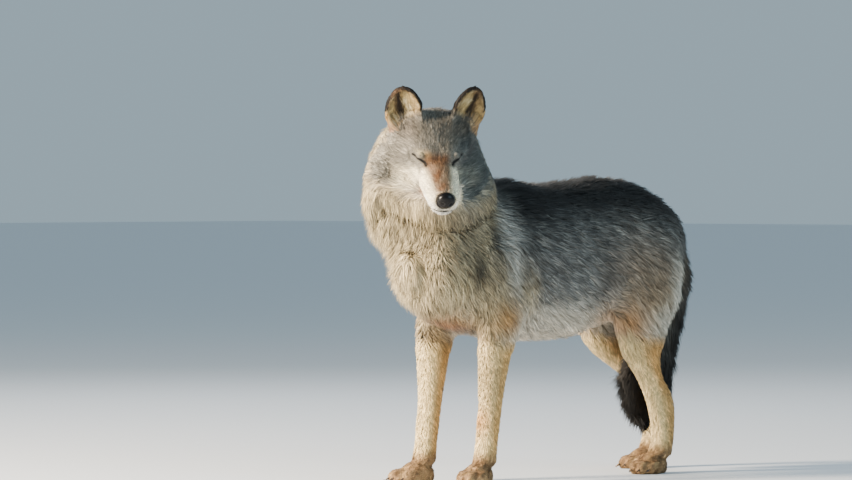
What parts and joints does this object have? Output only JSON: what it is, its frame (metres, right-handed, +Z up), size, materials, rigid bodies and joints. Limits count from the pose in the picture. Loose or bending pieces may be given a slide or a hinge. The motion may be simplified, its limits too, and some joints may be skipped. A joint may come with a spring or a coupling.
{
  "type": "grey wolf",
  "caption": "Life-size still grey wolf in winter coat, standing on four paws with its head turned to its left, eyes closed, tail hanging between the hind legs.",
  "frame": {"origin": "middle of the outline's box, on the floor under the paws", "axes": "+Z up, -Y the way the body faces, +X its left side"},
  "size_m": [0.3406, 1.1228, 0.9444],
  "materials": {
    "fur_grizzled": "grizzled grey guard hair over pale underfur, matt",
    "fur_ruff": "cream and grey ruff hair with dark tips, matt",
    "fur_crown": "short grizzled brown-grey hair of crown and face",
    "fur_pale": "short white to rust hair of muzzle and lips",
    "fur_leg": "short tan leg hair, matt",
    "fur_paw": "short orange-brown paw hair with dark gaps between the toes",
    "fur_tail": "long dark tail hair",
    "fur_ear": "short ear hair, dark rim and cream inside",
    "nose_skin": "bare black pebbled nose skin, moist",
    "eye": "dark wet eye behind closed lids"
  },
  "bodies": {
    "root": {"nose": "nose_skin", "eye_left": "eye", "eye_right": "eye", "ear_left": "fur_ear", "ear_right": "fur_ear", "head": "fur_crown", "muzzle": "fur_pale", "jaw": "fur_pale", "neck": "fur_ruff", "chest": "fur_grizzled", "belly": "fur_grizzled", "hindquarters": "fur_grizzled", "tail_base": "fur_tail", "tail_middle": "fur_tail", "tail_tip": "fur_tail", "foreleg_left_shoulder": "fur_grizzled", "foreleg_left_forearm": "fur_leg", "foreleg_left_paw": "fur_paw", "hindleg_left_thigh": "fur_grizzled", "hindleg_left_shank": "fur_leg", "hindleg_left_hock": "fur_leg", "hindleg_left_paw": "fur_paw", "foreleg_right_shoulder": "fur_grizzled", "foreleg_right_forearm": "fur_leg", "foreleg_right_paw": "fur_paw", "hindleg_right_thigh": "fur_grizzled", "hindleg_right_shank": "fur_leg", "hindleg_right_hock": "fur_leg", "hindleg_right_paw": "fur_paw"}
  },
  "joints": []
}
